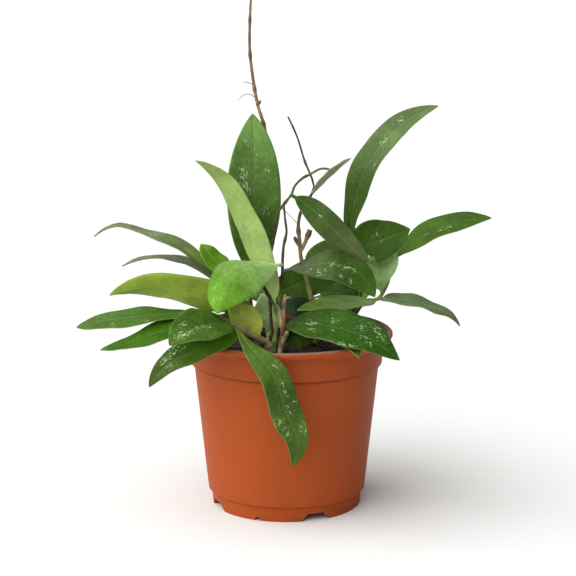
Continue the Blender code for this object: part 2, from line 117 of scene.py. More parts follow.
class Finish:
    """A material in the making."""

    def __init__(self, name):
        self.material = bpy.data.materials.new(name)
        self.material.use_nodes = True
        self.tree = self.material.node_tree
        self.shader = self.tree.nodes["Principled BSDF"]

    def node(self, kind, settings=None, sockets=None, out=0):
        """Adds a node: its settings first, then each socket's value or wire. Gives one of its outputs."""
        made = self.tree.nodes.new(kind)
        for name, value in (settings or {}).items():
            setattr(made, name, value)
        for name, value in (sockets or {}).items():
            self.plug(made.inputs[name], value)
        return Wire(self, made.outputs[out])

    def plug(self, socket, value):
        if isinstance(value, Wire):
            self.tree.links.new(value.socket, socket)
        elif socket.type == "RGBA" and len(value) == 3:
            socket.default_value = (*value, 1)
        else:
            socket.default_value = value

    def set(self, **sockets):
        """Feeds the shader's own sockets, named with _ for a space."""
        for name, value in sockets.items():
            self.plug(self.shader.inputs[name.replace("_", " ")], value)
        return self.material

    def place(self, scale=(1, 1, 1)):
        """The point in the object's own space, in metres, stretched by the scale."""
        point = self.node("ShaderNodeTexCoord", out=3)
        return self.node("ShaderNodeMapping", sockets={"Vector": point, "Scale": scale})

    def speckle(self, vector, scale, detail=3.0, roughness=0.55):
        values = {"Vector": vector, "Scale": scale, "Detail": detail, "Roughness": roughness}
        return self.node("ShaderNodeTexNoise", sockets=values)

    def step(self, value, low, high, first=0.0, last=1.0):
        """A smooth rise from first to last as the value goes from low to high."""
        values = {0: value, 1: low, 2: high, 3: first, 4: last}
        return self.node("ShaderNodeMapRange", {"interpolation_type": "SMOOTHSTEP"}, values)

    def blend(self, amount, a, b):
        return self.node("ShaderNodeMix", {"data_type": "RGBA"}, {0: amount, 6: a, 7: b}, out=2)

    def attribute(self, name):
        """A number that the mesh carries as an attribute."""
        return self.node("ShaderNodeAttribute", {"attribute_name": name}, out=2)

    def colour(self, name):
        """A colour that the mesh carries as an attribute."""
        return self.node("ShaderNodeAttribute", {"attribute_name": name}, out=0)

    def scaled(self, colour, factor):
        return self.node("ShaderNodeVectorMath", {"operation": "SCALE"}, {0: colour, 3: factor})

    def relief(self, height, depth, strength):
        values = {"Height": height, "Distance": depth, "Strength": strength}
        return self.node("ShaderNodeBump", sockets=values)


def add_piece(name, mesh, material, replaced=None):
    """Adds a finished piece that rides on the plant's one body."""
    piece = bpy.data.objects.new(name, mesh)
    bpy.context.scene.collection.objects.link(piece)
    mesh.materials.append(material)
    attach(piece, "root")
    if replaced:
        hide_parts(replaced)
    return piece


def mesh_of(shape, name):
    """The shape as a smooth mesh. The shape is used up."""
    mesh = bpy.data.meshes.new(name)
    shape.to_mesh(mesh)
    shape.free()
    mesh.shade_smooth()
    return mesh


def spun(profile, turns):
    """A shape turned about the Z axis from points of (radius, height) in millimetres."""
    shape = bmesh.new()
    points = [shape.verts.new((radius * MM, 0, height * MM)) for radius, height in profile]
    edges = [shape.edges.new(pair) for pair in zip(points, points[1:])]
    bmesh.ops.spin(
        shape, geom=points + edges, cent=(0, 0, 0), axis=(0, 0, 1),
        angle=math.tau, steps=turns, use_merge=True,
    )
    bmesh.ops.remove_doubles(shape, verts=shape.verts, dist=0.000005)
    bmesh.ops.recalc_face_normals(shape, faces=shape.faces)
    return shape


def settle(piece):
    """Makes what a piece's modifiers do part of its mesh."""
    graph = bpy.context.evaluated_depsgraph_get()
    mesh = bpy.data.meshes.new_from_object(piece.evaluated_get(graph))
    piece.modifiers.clear()
    piece.data = mesh


def pot_profile():
    """Half of the pot's section: over the lip, down the outside, under the floor, and up the inside."""
    return [
        (INNER_LIP_RADIUS + 0.9, LIP_TOP),
        (LIP_RADIUS - 1.1, LIP_TOP),
        (LIP_RADIUS, LIP_TOP - 1.1),
        (LIP_RADIUS, LIP_FOOT + 2.0),
        (LIP_RADIUS - 1.0, LIP_FOOT + 0.4),
        (LIP_RADIUS - 3.5, LIP_FOOT - 1.2),
        (BAND_TOP_RADIUS + 1.1, LIP_FOOT - 2.2),
        (BAND_TOP_RADIUS, LIP_FOOT - 4.0),
        (BAND_FOOT_RADIUS, BAND_FOOT),
        (BAND_FOOT_RADIUS - 0.8, BAND_FOOT - 1.3),
        (WALL_TOP_RADIUS, WALL_TOP),
        (WALL_FOOT_RADIUS, WALL_FOOT),
        (SKIRT_RADIUS + 1.0, SKIRT_TOP),
        (SKIRT_RADIUS, 0),
        (SKIRT_RADIUS - WALL, 0),
        (SKIRT_RADIUS - WALL, FLOOR_UNDERSIDE),
        (PAD_RADIUS + 2, FLOOR_UNDERSIDE),
        (PAD_RADIUS, 0),
        (0, 0),
        (0, WALL),
        (PAD_RADIUS - 1.6, WALL),
        (PAD_RADIUS + 0.4, FLOOR_UNDERSIDE + WALL),
        (SKIRT_RADIUS - WALL + 0.8, FLOOR_UNDERSIDE + WALL),
        (SKIRT_RADIUS - WALL + 1.1, SKIRT_TOP + 1.0),
        (WALL_FOOT_RADIUS - WALL, WALL_FOOT + 1.0),
        (WALL_TOP_RADIUS - WALL, WALL_TOP + 0.8),
        (BAND_FOOT_RADIUS - WALL, BAND_FOOT + 2.2),
        (BAND_TOP_RADIUS - WALL, LIP_FOOT - 1.8),
        (INNER_LIP_RADIUS, LIP_TOP - 1.4),
        (INNER_LIP_RADIUS + 0.9, LIP_TOP),
    ]


def notch_wedges():
    """Wedges across the foot's skirt, wide and narrow in turn."""
    shape = bmesh.new()
    for number in range(NOTCH_COUNT):
        foot_width, top_width, height = NARROW_NOTCH if number % 2 else WIDE_NOTCH
        wedge = bmesh.ops.create_cube(shape, size=1)["verts"]
        for corner in wedge:
            top = corner.co.z > 0
            corner.co.x *= (top_width if top else foot_width) * MM
            outside = corner.co.y < 0
            corner.co.y = -(SKIRT_RADIUS + WEDGE_OUTSIDE if outside else SKIRT_RADIUS - WEDGE_INSIDE) * MM
            corner.co.z = (height if top else -1) * MM
        turn = Matrix.Rotation(math.radians(FIRST_NOTCH + 360 / NOTCH_COUNT * number), 3, "Z")
        bmesh.ops.rotate(shape, verts=wedge, matrix=turn)
    bmesh.ops.recalc_face_normals(shape, faces=shape.faces)
    return mesh_of(shape, "notch_wedges")


def pot_plastic():
    """Matt plastic: faint clouds in the colour, painted shade in its groove and inside, dust on the lip and
    grime near the foot.
    """
    finish = Finish("terracotta plastic")
    point = finish.place()
    clouds = finish.speckle(point, 22.0, 4.0)
    streaks = finish.speckle(finish.place((90, 90, 7)), 1.0, 3.0)
    clay = finish.blend(finish.step(clouds, 0.35, 0.7), CLAY, LIGHT_CLAY)
    clay = finish.blend(finish.step(streaks, 0.6, 0.9) * 0.10, clay, PALE_STREAK)
    height = finish.node("ShaderNodeSeparateXYZ", sockets={0: point}, out=2)
    # Where the groove under the band gets its painted shade.
    groove = finish.step(height, (BAND_FOOT - 2.4) * MM, (BAND_FOOT - 1.2) * MM)
    groove = groove * finish.step(height, (BAND_FOOT + 0.6) * MM, (BAND_FOOT - 0.6) * MM)
    dusty = finish.step(height, (LIP_TOP - 1.2) * MM, (LIP_TOP - 0.1) * MM)
    dust = finish.speckle(point, 60.0)
    clay = finish.blend(groove * 0.75, clay, GROOVE_PAINTED_SHADE)
    # Painted shade on the inside wall.
    clay = finish.blend(finish.attribute("inside") * 0.8, clay, INSIDE_PAINTED_SHADE)
    clay = finish.blend(dusty * finish.step(dust, 0.25, 0.6, 0.6, 0.9), clay, LIP_DUST)
    grime = finish.step(height, 7 * MM, 0.0) * finish.step(finish.speckle(point, 130.0), 0.4, 0.7)
    clay = finish.blend(grime * 0.3, clay, FOOT_GRIME)
    skin = finish.speckle(point, 900.0, 2.0) + finish.speckle(point, 60.0) * 1.5
    return finish.set(
        Base_Color=clay,
        Roughness=finish.step(clouds, 0.3, 0.7, 0.50, 0.60) + dusty * 0.2,
        Normal=finish.relief(skin, 0.00012, 0.4),
        Specular_IOR_Level=0.12,
    )


pot_shape = spun(pot_profile(), POT_TURNS)
pot_shape.normal_update()
# Marks the inside wall, which gets painted shade.
inner = pot_shape.verts.layers.float.new("inside")
for corner in pot_shape.verts:
    faces_in = corner.co.xy.dot(corner.normal.xy) < 0
    corner[inner] = 1.0 if faces_in and corner.co.z > SOIL_LEVEL / 2 * MM else 0.0
pot = add_piece("pot_shell", mesh_of(pot_shape, "pot_shell"), pot_plastic(), "pot")
wedges = bpy.data.objects.new("notch_wedges", notch_wedges())
bpy.context.scene.collection.objects.link(wedges)
cut = pot.modifiers.new("notches", "BOOLEAN")
cut.object = wedges
settle(pot)
bpy.data.objects.remove(wedges)
edge = pot.modifiers.new("rounded edges", "BEVEL")
edge.width = EDGE_ROUND * MM
edge.segments = 2
edge.limit_method = "ANGLE"
edge.angle_limit = math.radians(25)
even = pot.modifiers.new("even shading", "WEIGHTED_NORMAL")
even.keep_sharp = True


# The soil
# Dark, damp peat with bark crumbs, filled to 12 mm below the lip. Its top is uneven, with loose crumbs on it,
# and the rest of the plug is a plain turned solid that the pot hides.

SOIL_RADIUS = 70.2
SOIL_TURNS = 150
SOIL_RINGS = 60
SOIL_CLEAR = 0.45
SOIL_SWELL = 1.6
SOIL_LEVEL_RIM = 3.0
CRUMB_COUNT = 620
CRUMB_SIZES = (0.5, 0.7, 0.9, 1.2, 1.8)

DARK_PEAT = (0.012, 0.008, 0.005)
BROWN_PEAT = (0.055, 0.034, 0.020)
PEAT_FLECK = (0.16, 0.105, 0.065)
BARK_CRUMB = (0.13, 0.075, 0.040)


def soil_height(x, y):
    """The top of the soil above or below its level, in millimetres: slow swells and fine crumb."""
    swell = SOIL_SWELL * (math.sin(x / 9 + 1.0) * math.cos(y / 11) + 0.6 * math.sin((x - y) / 6))
    crumb = 0.9 * noise.noise((x / 3.0, y / 3.0, 2.0)) + 0.5 * noise.noise((x / 1.3, y / 1.3, 7.0))
    return swell + crumb


def soil_profile():
    """Half of the soil's section: across its top, down beside the pot's wall, and over the pot's floor."""
    floor = FLOOR_UNDERSIDE + WALL + SOIL_CLEAR
    top = [(radius, SOIL_LEVEL) for radius in np.linspace(0, SOIL_RADIUS, SOIL_RINGS)]
    return top + [
        (BAND_FOOT_RADIUS - WALL - SOIL_CLEAR, BAND_FOOT + 3.0),
        (WALL_TOP_RADIUS - WALL - SOIL_CLEAR, WALL_TOP + 1.0),
        (WALL_FOOT_RADIUS - WALL - SOIL_CLEAR, WALL_FOOT + 1.4),
        (SKIRT_RADIUS - WALL + 0.6 - SOIL_CLEAR, SKIRT_TOP + 1.2),
        (SKIRT_RADIUS - WALL + 0.4 - SOIL_CLEAR, floor),
        (0, floor),
    ]


def peat():
    """Damp peat, dark and grainy, with bark-coloured bits where the tint attribute is high."""
    finish = Finish("peat")
    point = finish.place()
    coarse = finish.speckle(point, 260.0, 4.0)
    fine = finish.speckle(point, 1400.0, 3.0)
    brown = finish.blend(finish.step(coarse, 0.35, 0.7), DARK_PEAT, BROWN_PEAT)
    brown = finish.blend(finish.step(fine, 0.62, 0.78) * 0.6, brown, PEAT_FLECK)
    brown = finish.blend(finish.attribute("tint"), brown, BARK_CRUMB)
    return finish.set(
        Base_Color=brown,
        Roughness=finish.step(fine, 0.3, 0.7, 0.8, 0.95),
        Normal=finish.relief(coarse + fine * 0.5, 0.0008, 0.8),
    )


soil_shape = spun(soil_profile(), SOIL_TURNS)
for point in soil_shape.verts:
    if point.co.z > (SOIL_LEVEL - 1) * MM:
        x, y = point.co.x / MM, point.co.y / MM
        edge_fade = min(1.0, (SOIL_RADIUS - math.hypot(x, y)) / SOIL_LEVEL_RIM)
        point.co.z += soil_height(x, y) * edge_fade * MM
peat_finish = peat()
add_piece("soil_fill", mesh_of(soil_shape, "soil_fill"), peat_finish, "soil")

random.seed(11)
noise.seed_set(11)
crumbs = bmesh.new()
tint = crumbs.verts.layers.float.new("tint")
for _ in range(CRUMB_COUNT):
    radius = (SOIL_RADIUS - SOIL_LEVEL_RIM) * math.sqrt(random.random())
    turn = random.uniform(0, math.tau)
    x, y = radius * math.cos(turn), radius * math.sin(turn)
    size = random.choice(CRUMB_SIZES) * random.uniform(0.7, 1.2)
    crumb = bmesh.ops.create_icosphere(crumbs, subdivisions=1, radius=size * MM)["verts"]
    stretch = Matrix.Diagonal((random.uniform(0.7, 1.9), random.uniform(0.6, 1.1), random.uniform(0.4, 0.8)))
    tilt = Matrix.Rotation(random.uniform(-0.5, 0.5), 3, "X")
    spin = Matrix.Rotation(random.uniform(0, math.tau), 3, "Z")
    shade = random.random() ** 3
    for corner in crumb:
        corner.co = spin @ tilt @ stretch @ corner.co
        corner.co += Vector((x, y, SOIL_LEVEL + soil_height(x, y) + size * 0.2)) * MM
        corner.co += noise.noise_vector(corner.co * 900) * size * 0.25 * MM
        corner[tint] = shade
add_piece("soil_crumbs", mesh_of(crumbs, "soil_crumbs"), peat_finish)


# The vines
# Wiry living stems, brown where they are old and greener where they are young, with a swollen node wherever
# a leaf, a root or a side shoot grows. Each stands in the soil on its own.

ROOT_DEPTH = 18.0
STEM_STEP = 1.5
VINE_STEP = 9.0
NODE_EVERY = 3
NODE_SWELL = 0.34
NODE_REACH = 2.2
BARK_WAVE = 0.05
BARK_WAVE_LENGTH = 1.9

DARK_BARK = (0.032, 0.022, 0.012)
BROWN_BARK = (0.085, 0.055, 0.026)
TAN_BARK = (0.260, 0.175, 0.080)
CREAM_BARK = (0.520, 0.420, 0.210)
RUST_BARK = (0.200, 0.042, 0.018)
OLIVE_BARK = (0.260, 0.225, 0.080)
GREEN_BARK = (0.060, 0.078, 0.018)
PALE_BARK = (0.230, 0.330, 0.095)
# Painted shade: a near-black bark colour for stems in shadow.
PAINTED_SHADE_BARK = (0.012, 0.022, 0.008)
BARK_FLECK = (0.26, 0.21, 0.13)
NODE_BARK = (0.050, 0.026, 0.012)


def smooth_curve(knots, fractions):
    """Points at these fractions of the length of a smooth curve through the knots, and that length."""
    knots = np.array(knots, float)
    chord = np.concatenate(([0], np.cumsum(np.linalg.norm(np.diff(knots, axis=0), axis=1))))
    slope = np.gradient(knots, chord, axis=0, edge_order=2)
    fine = np.linspace(0, chord[-1], 241)
    span = np.clip(np.searchsorted(chord, fine, side="right") - 1, 0, len(knots) - 2)
    reach = (chord[span + 1] - chord[span])[:, None]
    t = (fine - chord[span])[:, None] / reach
    points = (
        (2 * t**3 - 3 * t**2 + 1) * knots[span]
        + (t**3 - 2 * t**2 + t) * reach * slope[span]
        + (3 * t**2 - 2 * t**3) * knots[span + 1]
        + (t**3 - t**2) * reach * slope[span + 1]
    )
    run = np.concatenate(([0], np.cumsum(np.linalg.norm(np.diff(points, axis=0), axis=1))))
    wanted = np.array(fractions) * run[-1]
    return np.stack([np.interp(wanted, run, points[:, axis]) for axis in range(3)], axis=1), run[-1]


def bark():
    """Bark in the colour of the skin attribute, mottled, with paler flecks, and darker where node is high."""
    finish = Finish("vine bark")
    grain = finish.speckle(finish.place((1, 1, 0.25)), 900.0, 4.0)
    patches = finish.speckle(finish.place(), 150.0, 3.0)
    colour = finish.scaled(finish.colour("skin"), finish.step(patches, 0.3, 0.7, 0.65, 1.35))
    colour = finish.blend(finish.step(grain, 0.58, 0.78) * 0.3, colour, BARK_FLECK)
    colour = finish.blend(finish.attribute("node") * 0.5, colour, NODE_BARK)
    return finish.set(
        Base_Color=colour,
        Roughness=finish.step(grain, 0.3, 0.7, 0.5, 0.7),
        Normal=finish.relief(grain, 0.0002, 0.6),
        Specular_IOR_Level=0.3,
    )


def tube(name, points, radii):
    """A round tube through the points, in millimetres, closed at both ends."""
    curve = bpy.data.curves.new(name, "CURVE")
    curve.dimensions = "3D"
    curve.bevel_depth = MM
    curve.bevel_resolution = 4
    curve.use_fill_caps = True
    path = curve.splines.new("POLY")
    path.points.add(len(points) - 1)
    for point, place, radius in zip(path.points, points, radii):
        point.co = (*(place * MM), 1)
        point.radius = radius
    drawn = bpy.data.objects.new(name, curve)
    bpy.context.scene.collection.objects.link(drawn)
    graph = bpy.context.evaluated_depsgraph_get()
    mesh = bpy.data.meshes.new_from_object(drawn.evaluated_get(graph))
    bpy.data.objects.remove(drawn)
    shape = bmesh.new()
    shape.from_mesh(mesh)
    bmesh.ops.remove_doubles(shape, verts=shape.verts, dist=0.000005)
    bmesh.ops.recalc_face_normals(shape, faces=shape.faces)
    return shape


def grown(knots, radius, tip_radius, taper):
    """A stem's points, radii and node strength along it: it narrows to its tip and swells at its nodes."""
    length = smooth_curve(knots, [0, 1])[1]
    fractions = np.linspace(0, 1, max(8, round(length / STEM_STEP)) + 1)
    points, _ = smooth_curve(knots, fractions)
    steps = max(4, round(length / VINE_STEP))
    nodes = np.arange(NODE_EVERY, steps, NODE_EVERY) / steps
    away = np.abs(fractions[:, None] - nodes[None, :]).min(axis=1) * length
    swell = np.exp(-((away / NODE_REACH) ** 2))
    radii = (radius + (tip_radius - radius) * fractions**taper) * (1 + NODE_SWELL * swell)
    radii = radii * (1 + BARK_WAVE * np.sin(fractions * length / BARK_WAVE_LENGTH))
    return points, radii, swell, fractions


def faded(colours, share):
    """The colour at this share of a length: one colour, or several spread evenly from foot to tip."""
    colours = np.atleast_2d(colours)
    stops = np.linspace(0, 1, len(colours))
    return (*(float(np.interp(share, stops, colours[:, channel])) for channel in range(3)), 1.0)


def add_stem(whole, knots, radius, tip_radius, *colours, taper=2.0):
    """Adds one stem to a vine's shape. Its colours are spread evenly from its foot to its tip."""
    points, radii, swell, fractions = grown(knots, radius, tip_radius, taper)
    shape = tube("stem", points, radii)
    part = bpy.data.meshes.new("stem")
    shape.to_mesh(part)
    shape.free()
    places = np.array([point.co for point in part.vertices]) / MM
    nearest = np.linalg.norm(places[:, None, :] - points[None, :, :], axis=2).argmin(axis=1)
    skin = np.array([faded(colours, share) for share in fractions])
    node = part.attributes.new("node", "FLOAT", "POINT")
    node.data.foreach_set("value", swell[nearest].astype(np.float32))
    tone = part.attributes.new("skin", "FLOAT_COLOR", "POINT")
    tone.data.foreach_set("color", skin[nearest].astype(np.float32).ravel())
    whole.from_mesh(part)
    bpy.data.meshes.remove(part)


def add_vine(name, node, *stems, taper=2.0):
    """One vine: the main stem, which the taper belongs to, and the shoots that grow out of it.

    Each stem has knots, a radius at foot and tip, and colours. A taper below 1 narrows it near its foot.
    """
    whole = bmesh.new()
    for number, stem in enumerate(stems):
        add_stem(whole, *stem, taper=2.0 if number else taper)
    add_piece(name, mesh_of(whole, name), bark_finish, node)
    vine_lines[node], _ = smooth_curve(stems[0][0], np.linspace(0, 1, 400))


def rooted(*knots):
    """A vine's knots with its foot in the soil, straight below the first of them."""
    x, y, _ = knots[0]
    return [(x, y, SOIL_LEVEL - ROOT_DEPTH), *knots]


bark_finish = bark()
vine_lines = {}
add_vine(
    "whip_stem", "vine_whip",
    (
        rooted(
            (-14, 15, 126), (-16, 20, 164), (-16, 22, 203), (-14, 24, 234), (-15, 26, 265),
            (-17, 26, 290), (-22, 26, 307), (-26, 25, 330), (-28, 25, 349), (-28, 25, 368),
            (-27, 25, 387), (-24, 25, 408),
        ),
        1.7, 0.8, CREAM_BARK, TAN_BARK, BROWN_BARK, BROWN_BARK, TAN_BARK, BROWN_BARK, TAN_BARK,
    ),
    ([(-23, 26, 308), (-21, 23, 309), (-20, 21, 311)], 0.9, 0.6, BROWN_BARK, RUST_BARK),
)
add_vine(
    "arching_stem", "vine_arch",
    (
        rooted(
            (-10, -10, 126), (-12, -10, 150), (-13, -6, 172), (-13, -1, 189), (-10, 1, 206),
            (-6, -2, 229), (-1, -4, 236), (4, -5, 243), (6, -3, 248), (12, 0, 254), (19, 5, 257),
            (25, 8, 260), (30, 12, 260), (36, 16, 257),
        ),
        1.2, 0.8, BROWN_BARK, BROWN_BARK, GREEN_BARK, GREEN_BARK, BROWN_BARK, GREEN_BARK, TAN_BARK,
    ),
)
add_vine(
    "front_stem", "vine_front",
    (
        rooted(
            (-5, -30, 126), (-4, -28, 132), (-3, -24, 141), (-4, -18, 149), (-4, -15, 156),
            (-5, -15, 165), (-5, -17, 174), (-3, -20, 182), (-3, -21, 190), (-2, -19, 206), (0, -15, 215),
            (-1, -10, 224), (-2, -6, 234),
        ),
        2.3, 0.8, CREAM_BARK, CREAM_BARK, RUST_BARK, CREAM_BARK, OLIVE_BARK, BROWN_BARK, DARK_BARK,
        DARK_BARK, DARK_BARK, DARK_BARK,
    ),
    (
        [(-3, -26, 138), (-2, -28, 147), (-2, -29, 159), (-1, -30, 170)],
        1.5, 1.1, RUST_BARK, TAN_BARK, TAN_BARK,
    ),
    ([(-1, -30, 166), (1, -31, 168), (4, -31, 167)], 0.7, 0.6, CREAM_BARK, TAN_BARK),
    ([(-4, -28, 130), (-2, -29, 135), (0, -30, 139), (1, -30, 142)], 1.9, 1.4, CREAM_BARK, PALE_BARK),
    taper=0.6,
)
# The runner's top, under the young leaf, is near black with painted shade.
add_vine(
    "runner_stem", "vine_runner",
    (
        rooted(
            (-9, -23, 126), (-9, -24, 133), (-8, -25, 142), (-8, -26, 151), (-9, -27, 161),
            (-12, -28, 166), (-16, -29, 173), (-21, -28, 180),
        ),
        2.1, 0.8, PALE_BARK, PALE_BARK, PALE_BARK, PALE_BARK, PAINTED_SHADE_BARK, PAINTED_SHADE_BARK,
    ),
    taper=1.0,
)
add_vine(
    "left_stem", "vine_left",
    (
        rooted(
            (-13, -34, 126), (-14, -37, 133), (-19, -42, 138), (-29, -50, 145), (-39, -56, 152),
            (-45, -58, 156), (-53, -60, 160),
        ),
        3.0, 1.8, CREAM_BARK, CREAM_BARK, OLIVE_BARK, OLIVE_BARK, BROWN_BARK,
    ),
    taper=1.0,
)
add_vine(
    "middle_stem", "vine_middle",
    (
        rooted(
            (-19, -8, 126), (-20, -8, 137), (-24, -8, 150), (-28, -7, 159), (-27, -5, 169),
            (-27, -2, 177),
        ),
        1.8, 1.5, BROWN_BARK, DARK_BARK, OLIVE_BARK,
    ),
)
add_vine(
    "forked_stem", "vine_fork",
    (
        rooted(
            (23, 5, 129), (19, 0, 160), (14, -4, 182), (11, -5, 194), (10, -5, 207), (9, -3, 216),
            (10, 0, 225), (13, 2, 233), (19, 4, 241), (21, 6, 246),
        ),
        1.9, 1.0, OLIVE_BARK, OLIVE_BARK, OLIVE_BARK, TAN_BARK, BROWN_BARK, DARK_BARK,
    ),
    ([(11, -5, 199), (14, -5, 205), (16, -5, 210), (18, -4, 215)], 1.4, 1.9, TAN_BARK, BROWN_BARK),
    ([(11, -5, 201), (8, -6, 206), (6, -6, 210)], 1.4, 1.1, TAN_BARK, BROWN_BARK),
    (
        [(18, 4, 240), (21, 6, 245), (20, 6, 251), (14, 7, 266), (8, 8, 285), (1, 10, 300)],
        0.8, 0.6, GREEN_BARK, DARK_BARK, DARK_BARK,
    ),
)
add_vine(
    "right_stem", "vine_right",
    (
        rooted(
            (46, 36, 127), (53, 36, 139), (63, 36, 151), (72, 37, 153), (78, 43, 160), (82, 53, 172),
            (83, 57, 181),
        ),
        1.7, 1.4, BROWN_BARK, GREEN_BARK, PALE_BARK, GREEN_BARK,
    ),
)
add_vine(
    "tall_stem", "vine_tall",
    (
        rooted((41, 30, 128), (50, 30, 142), (57, 30, 154), (59, 28, 170), (57, 26, 185), (51, 22, 204)),
        1.8, 1.5, BROWN_BARK, GREEN_BARK, GREEN_BARK,
    ),
)


# The leaves
# Thick, waxy, lance-shaped leaves on short round petioles, folded a little along a sunken midrib. The upper
# side is green with silver flecks, the underside is paler, and the margin is thin.

LEAF_ROWS = 64
LEAF_COLUMNS = 18
PETIOLE_ROWS = 4
ROW_SPREAD = 1.05
COLUMN_SPREAD = 1.15
PETIOLE_LENGTH = 4.0
PETIOLE_WIDTH = 2.6
PETIOLE_THICKNESS = 2.2
LEAF_THICKNESS = 1.3
MARGIN_THICKNESS = 0.6
TIP_WIDTH = 0.8
FULLNESS = 0.85
CUP_CURVE = 1.4
RIPPLES = 2.5
RIPPLE_SHIFT = 1.9
RIB_DEPTH = 0.3
RIB_REACH = 1.1
PUCKER = 0.35
PUCKER_ACROSS = 6
PUCKER_ALONG = 9
FLECK_STRETCH = 1.5
LEAF_SHEET = 200.0
UP = (0, 0, 1)

SILVER = (0.380, 0.470, 0.250)
# Partly painted shade: a leaf green made darker for the low leaves deep among the stems.
DEEP_GREEN_PAINTED_SHADE = (0.028, 0.066, 0.004)
DARK_GREEN = (0.030, 0.078, 0.003)
LEAF_GREEN = (0.040, 0.102, 0.006)
FRESH_GREEN = (0.042, 0.125, 0.003)
# Painted shade: the dark, bluish green of a leaf in shadow.
TEAL_PAINTED_SHADE = (0.045, 0.095, 0.045)
OLIVE_UNDER = (0.180, 0.270, 0.030)
PALE_VEIN = (0.46, 0.52, 0.26)
MARGIN = (0.26, 0.29, 0.12)
UNDER_MARGIN = (0.26, 0.20, 0.09)
FLESH = {
    "Specular_IOR_Level": 0.09,
    "Subsurface_Weight": 0.06,
    "Subsurface_Radius": (0.3, 0.8, 0.15),
    "Subsurface_Scale": 0.002,
}


def leaf_marks(finish):
    """Where a point lies on its leaf, in millimetres: across from the midrib, and along it."""
    sheet = finish.node("ShaderNodeUVMap", {"uv_map": "leaf"})
    across = (finish.node("ShaderNodeSeparateXYZ", sockets={0: sheet}, out=0) - 0.5) * LEAF_SHEET
    along = finish.node("ShaderNodeSeparateXYZ", sockets={0: sheet}, out=1) * LEAF_SHEET
    return across, along


def vein_wires(finish, across, along):
    """The midrib, and side veins that leave it forwards at a slant."""
    midrib = finish.step(abs(across), 1.1, 0.2)
    bend = finish.speckle(finish.place(), 70.0, 2.0) * 5.0
    course = (along - abs(across) * 1.15 + bend) * (math.tau / 8.5)
    side = finish.step(course.sine(), 0.9, 1.0) * finish.step(abs(across), 0.5, 2.5)
    return midrib, side


def splashes(finish, across, along):
    """Silver dashes along the leaf: thick where the patch attribute is high, thin and faint elsewhere."""
    patch = finish.attribute("patch")
    stray = finish.attribute("stray")
    slant = along - abs(across) * 0.6
    spot = {0: across * 0.82, 1: slant * 0.34, 2: finish.attribute("seed")}
    dashes = finish.speckle(finish.node("ShaderNodeCombineXYZ", sockets=spot), 1.0, 3.0, 0.6)
    return finish.step(dashes + patch * 0.13 + stray * 0.045, 0.655, 0.715) * (patch * 0.45 + 0.35)


def upper_side():
    """The waxy upper side of a leaf, in the colour of the upper attribute."""
    finish = Finish("leaf upper side")
    point = finish.place()
    across, along = leaf_marks(finish)
    midrib, side = vein_wires(finish, across, along)
    clouds = finish.speckle(point, 40.0, 4.0)
    fine = finish.speckle(point, 320.0, 3.0)
    green = finish.scaled(finish.colour("upper"), finish.step(clouds, 0.3, 0.7, 0.78, 1.22))
    green = finish.scaled(green, finish.step(fine, 0.3, 0.7, 0.90, 1.10))
    green = finish.blend(midrib * 0.07 + side * 0.03, green, SILVER)
    marks = splashes(finish, across, along)
    green = finish.blend(marks, green, SILVER)
    rim = finish.step(finish.attribute("edge"), 0.95, 1.0)
    green = finish.blend(rim * 0.35, green, MARGIN)
    height = fine * 0.4 + clouds * 1.5 - side * 0.2 - midrib * 0.5
    return finish.set(
        Base_Color=green,
        Roughness=finish.step(clouds, 0.3, 0.7, 0.38, 0.52) + marks * 0.1,
        Normal=finish.relief(height, 0.0004, 0.7),
        **FLESH,
    )


def under_side():
    """The paler underside of a leaf, in the colour of the under attribute, with a raised midrib."""
    finish = Finish("leaf underside")
    point = finish.place()
    across, along = leaf_marks(finish)
    midrib, side = vein_wires(finish, across, along)
    clouds = finish.speckle(point, 60.0, 4.0)
    fine = finish.speckle(point, 320.0, 3.0)
    green = finish.scaled(finish.colour("under"), finish.step(clouds, 0.3, 0.7, 0.86, 1.14))
    green = finish.scaled(green, finish.step(fine, 0.3, 0.7, 0.92, 1.08))
    green = finish.blend(midrib * 0.10 + side * 0.04, green, PALE_VEIN)
    rim = finish.step(finish.attribute("edge"), 0.95, 1.0)
    green = finish.blend(rim * 0.4, green, UNDER_MARGIN)
    height = fine * 0.4 + side * 0.2 + midrib * 0.6
    return finish.set(
        Base_Color=green,
        Roughness=finish.step(clouds, 0.3, 0.7, 0.46, 0.58),
        Normal=finish.relief(height, 0.0003, 0.6),
        **FLESH,
    )


def leaf_outline(blade, fullest):
    """A blade's width along it, as a share of its full width, which it has at the fullest place."""
    rise = fullest / (1 - fullest)
    return ((blade / fullest) ** rise * (1 - blade) / (1 - fullest)) ** FULLNESS


def leaf_rows(vine, knots):
    """A leaf's rows of points, closer at its foot, with the first of its knots moved onto its vine.

    Gives the curve's knots, its length, each row's share of that length, and its share of the blade alone.
    """
    line = vine_lines[vine]
    nearest = np.linalg.norm(line - np.array(knots[0]), axis=1).argmin()
    knots = [line[nearest], *knots[1:]]
    length = smooth_curve(knots, [0, 1])[1]
    foot = PETIOLE_LENGTH / length
    rows = np.linspace(0, 1, LEAF_ROWS - PETIOLE_ROWS) ** ROW_SPREAD
    blade = np.concatenate(([0.0] * PETIOLE_ROWS, rows))
    petiole = np.linspace(0, foot, PETIOLE_ROWS + 1)[:-1]
    return knots, length, np.concatenate((petiole, foot + (1 - foot) * rows)), blade


